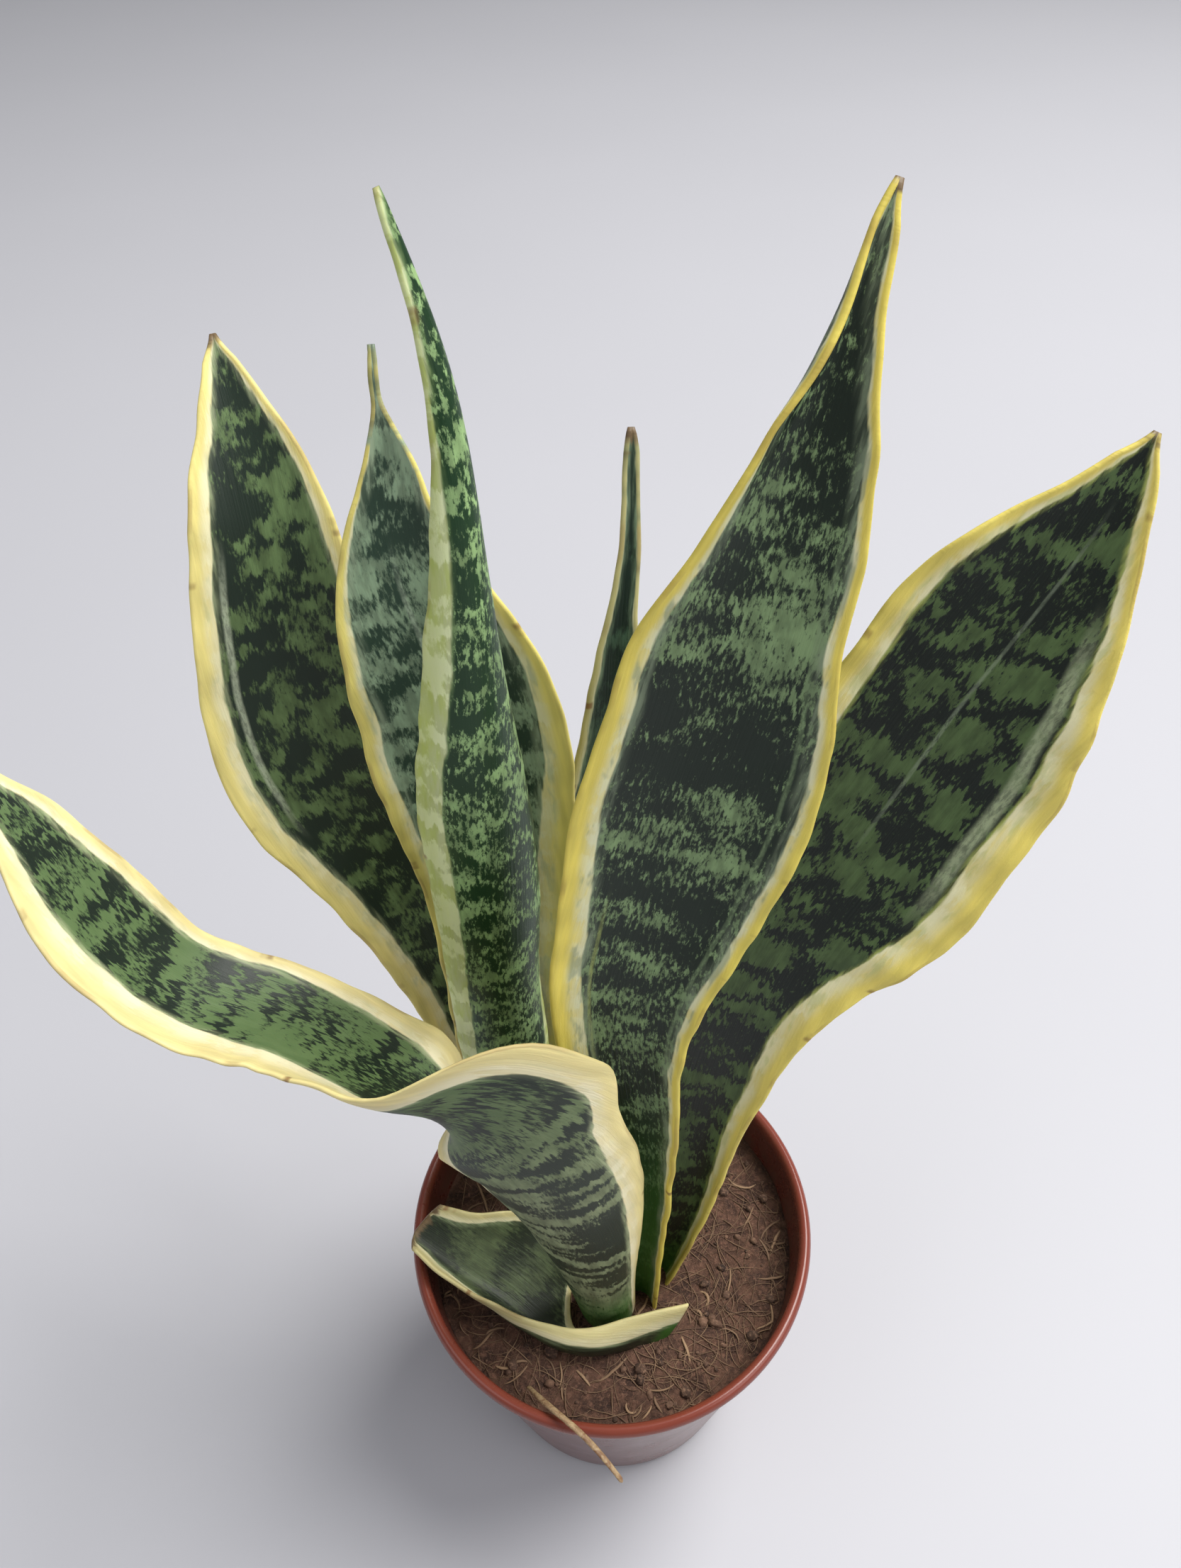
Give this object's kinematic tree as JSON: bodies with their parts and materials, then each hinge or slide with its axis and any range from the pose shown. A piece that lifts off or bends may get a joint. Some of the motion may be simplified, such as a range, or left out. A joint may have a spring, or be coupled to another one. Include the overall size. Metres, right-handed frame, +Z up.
{
  "type": "potted snake plant",
  "caption": "Variegated snake plant with upright and arching sword-shaped leaves edged in cream, rooted in brown potting soil in a round terracotta-red plastic nursery pot",
  "frame": {"origin": "centre of the pot's flat underside, on the pot's axis", "axes": "+Z up along the pot's axis; the pictured front of the plant faces -Y and +X is to the right of that view"},
  "size_m": [0.242, 0.1651, 0.3833],
  "materials": {
    "pot": "glossy",
    "soil": "rough",
    "rhizome": "matte",
    "leaf": "satin",
    "straw": "matte"
  },
  "bodies": {
    "root": {"pot": "pot", "soil": "soil", "rhizome": "rhizome", "leaf_left_back": "leaf", "leaf_mid_back": "leaf", "leaf_rolled": "leaf", "leaf_small_back": "leaf", "leaf_tall_centre": "leaf", "leaf_wide_right": "leaf", "leaf_bent_front": "leaf", "leaf_low_front": "leaf", "straw": "straw"}
  },
  "joints": []
}
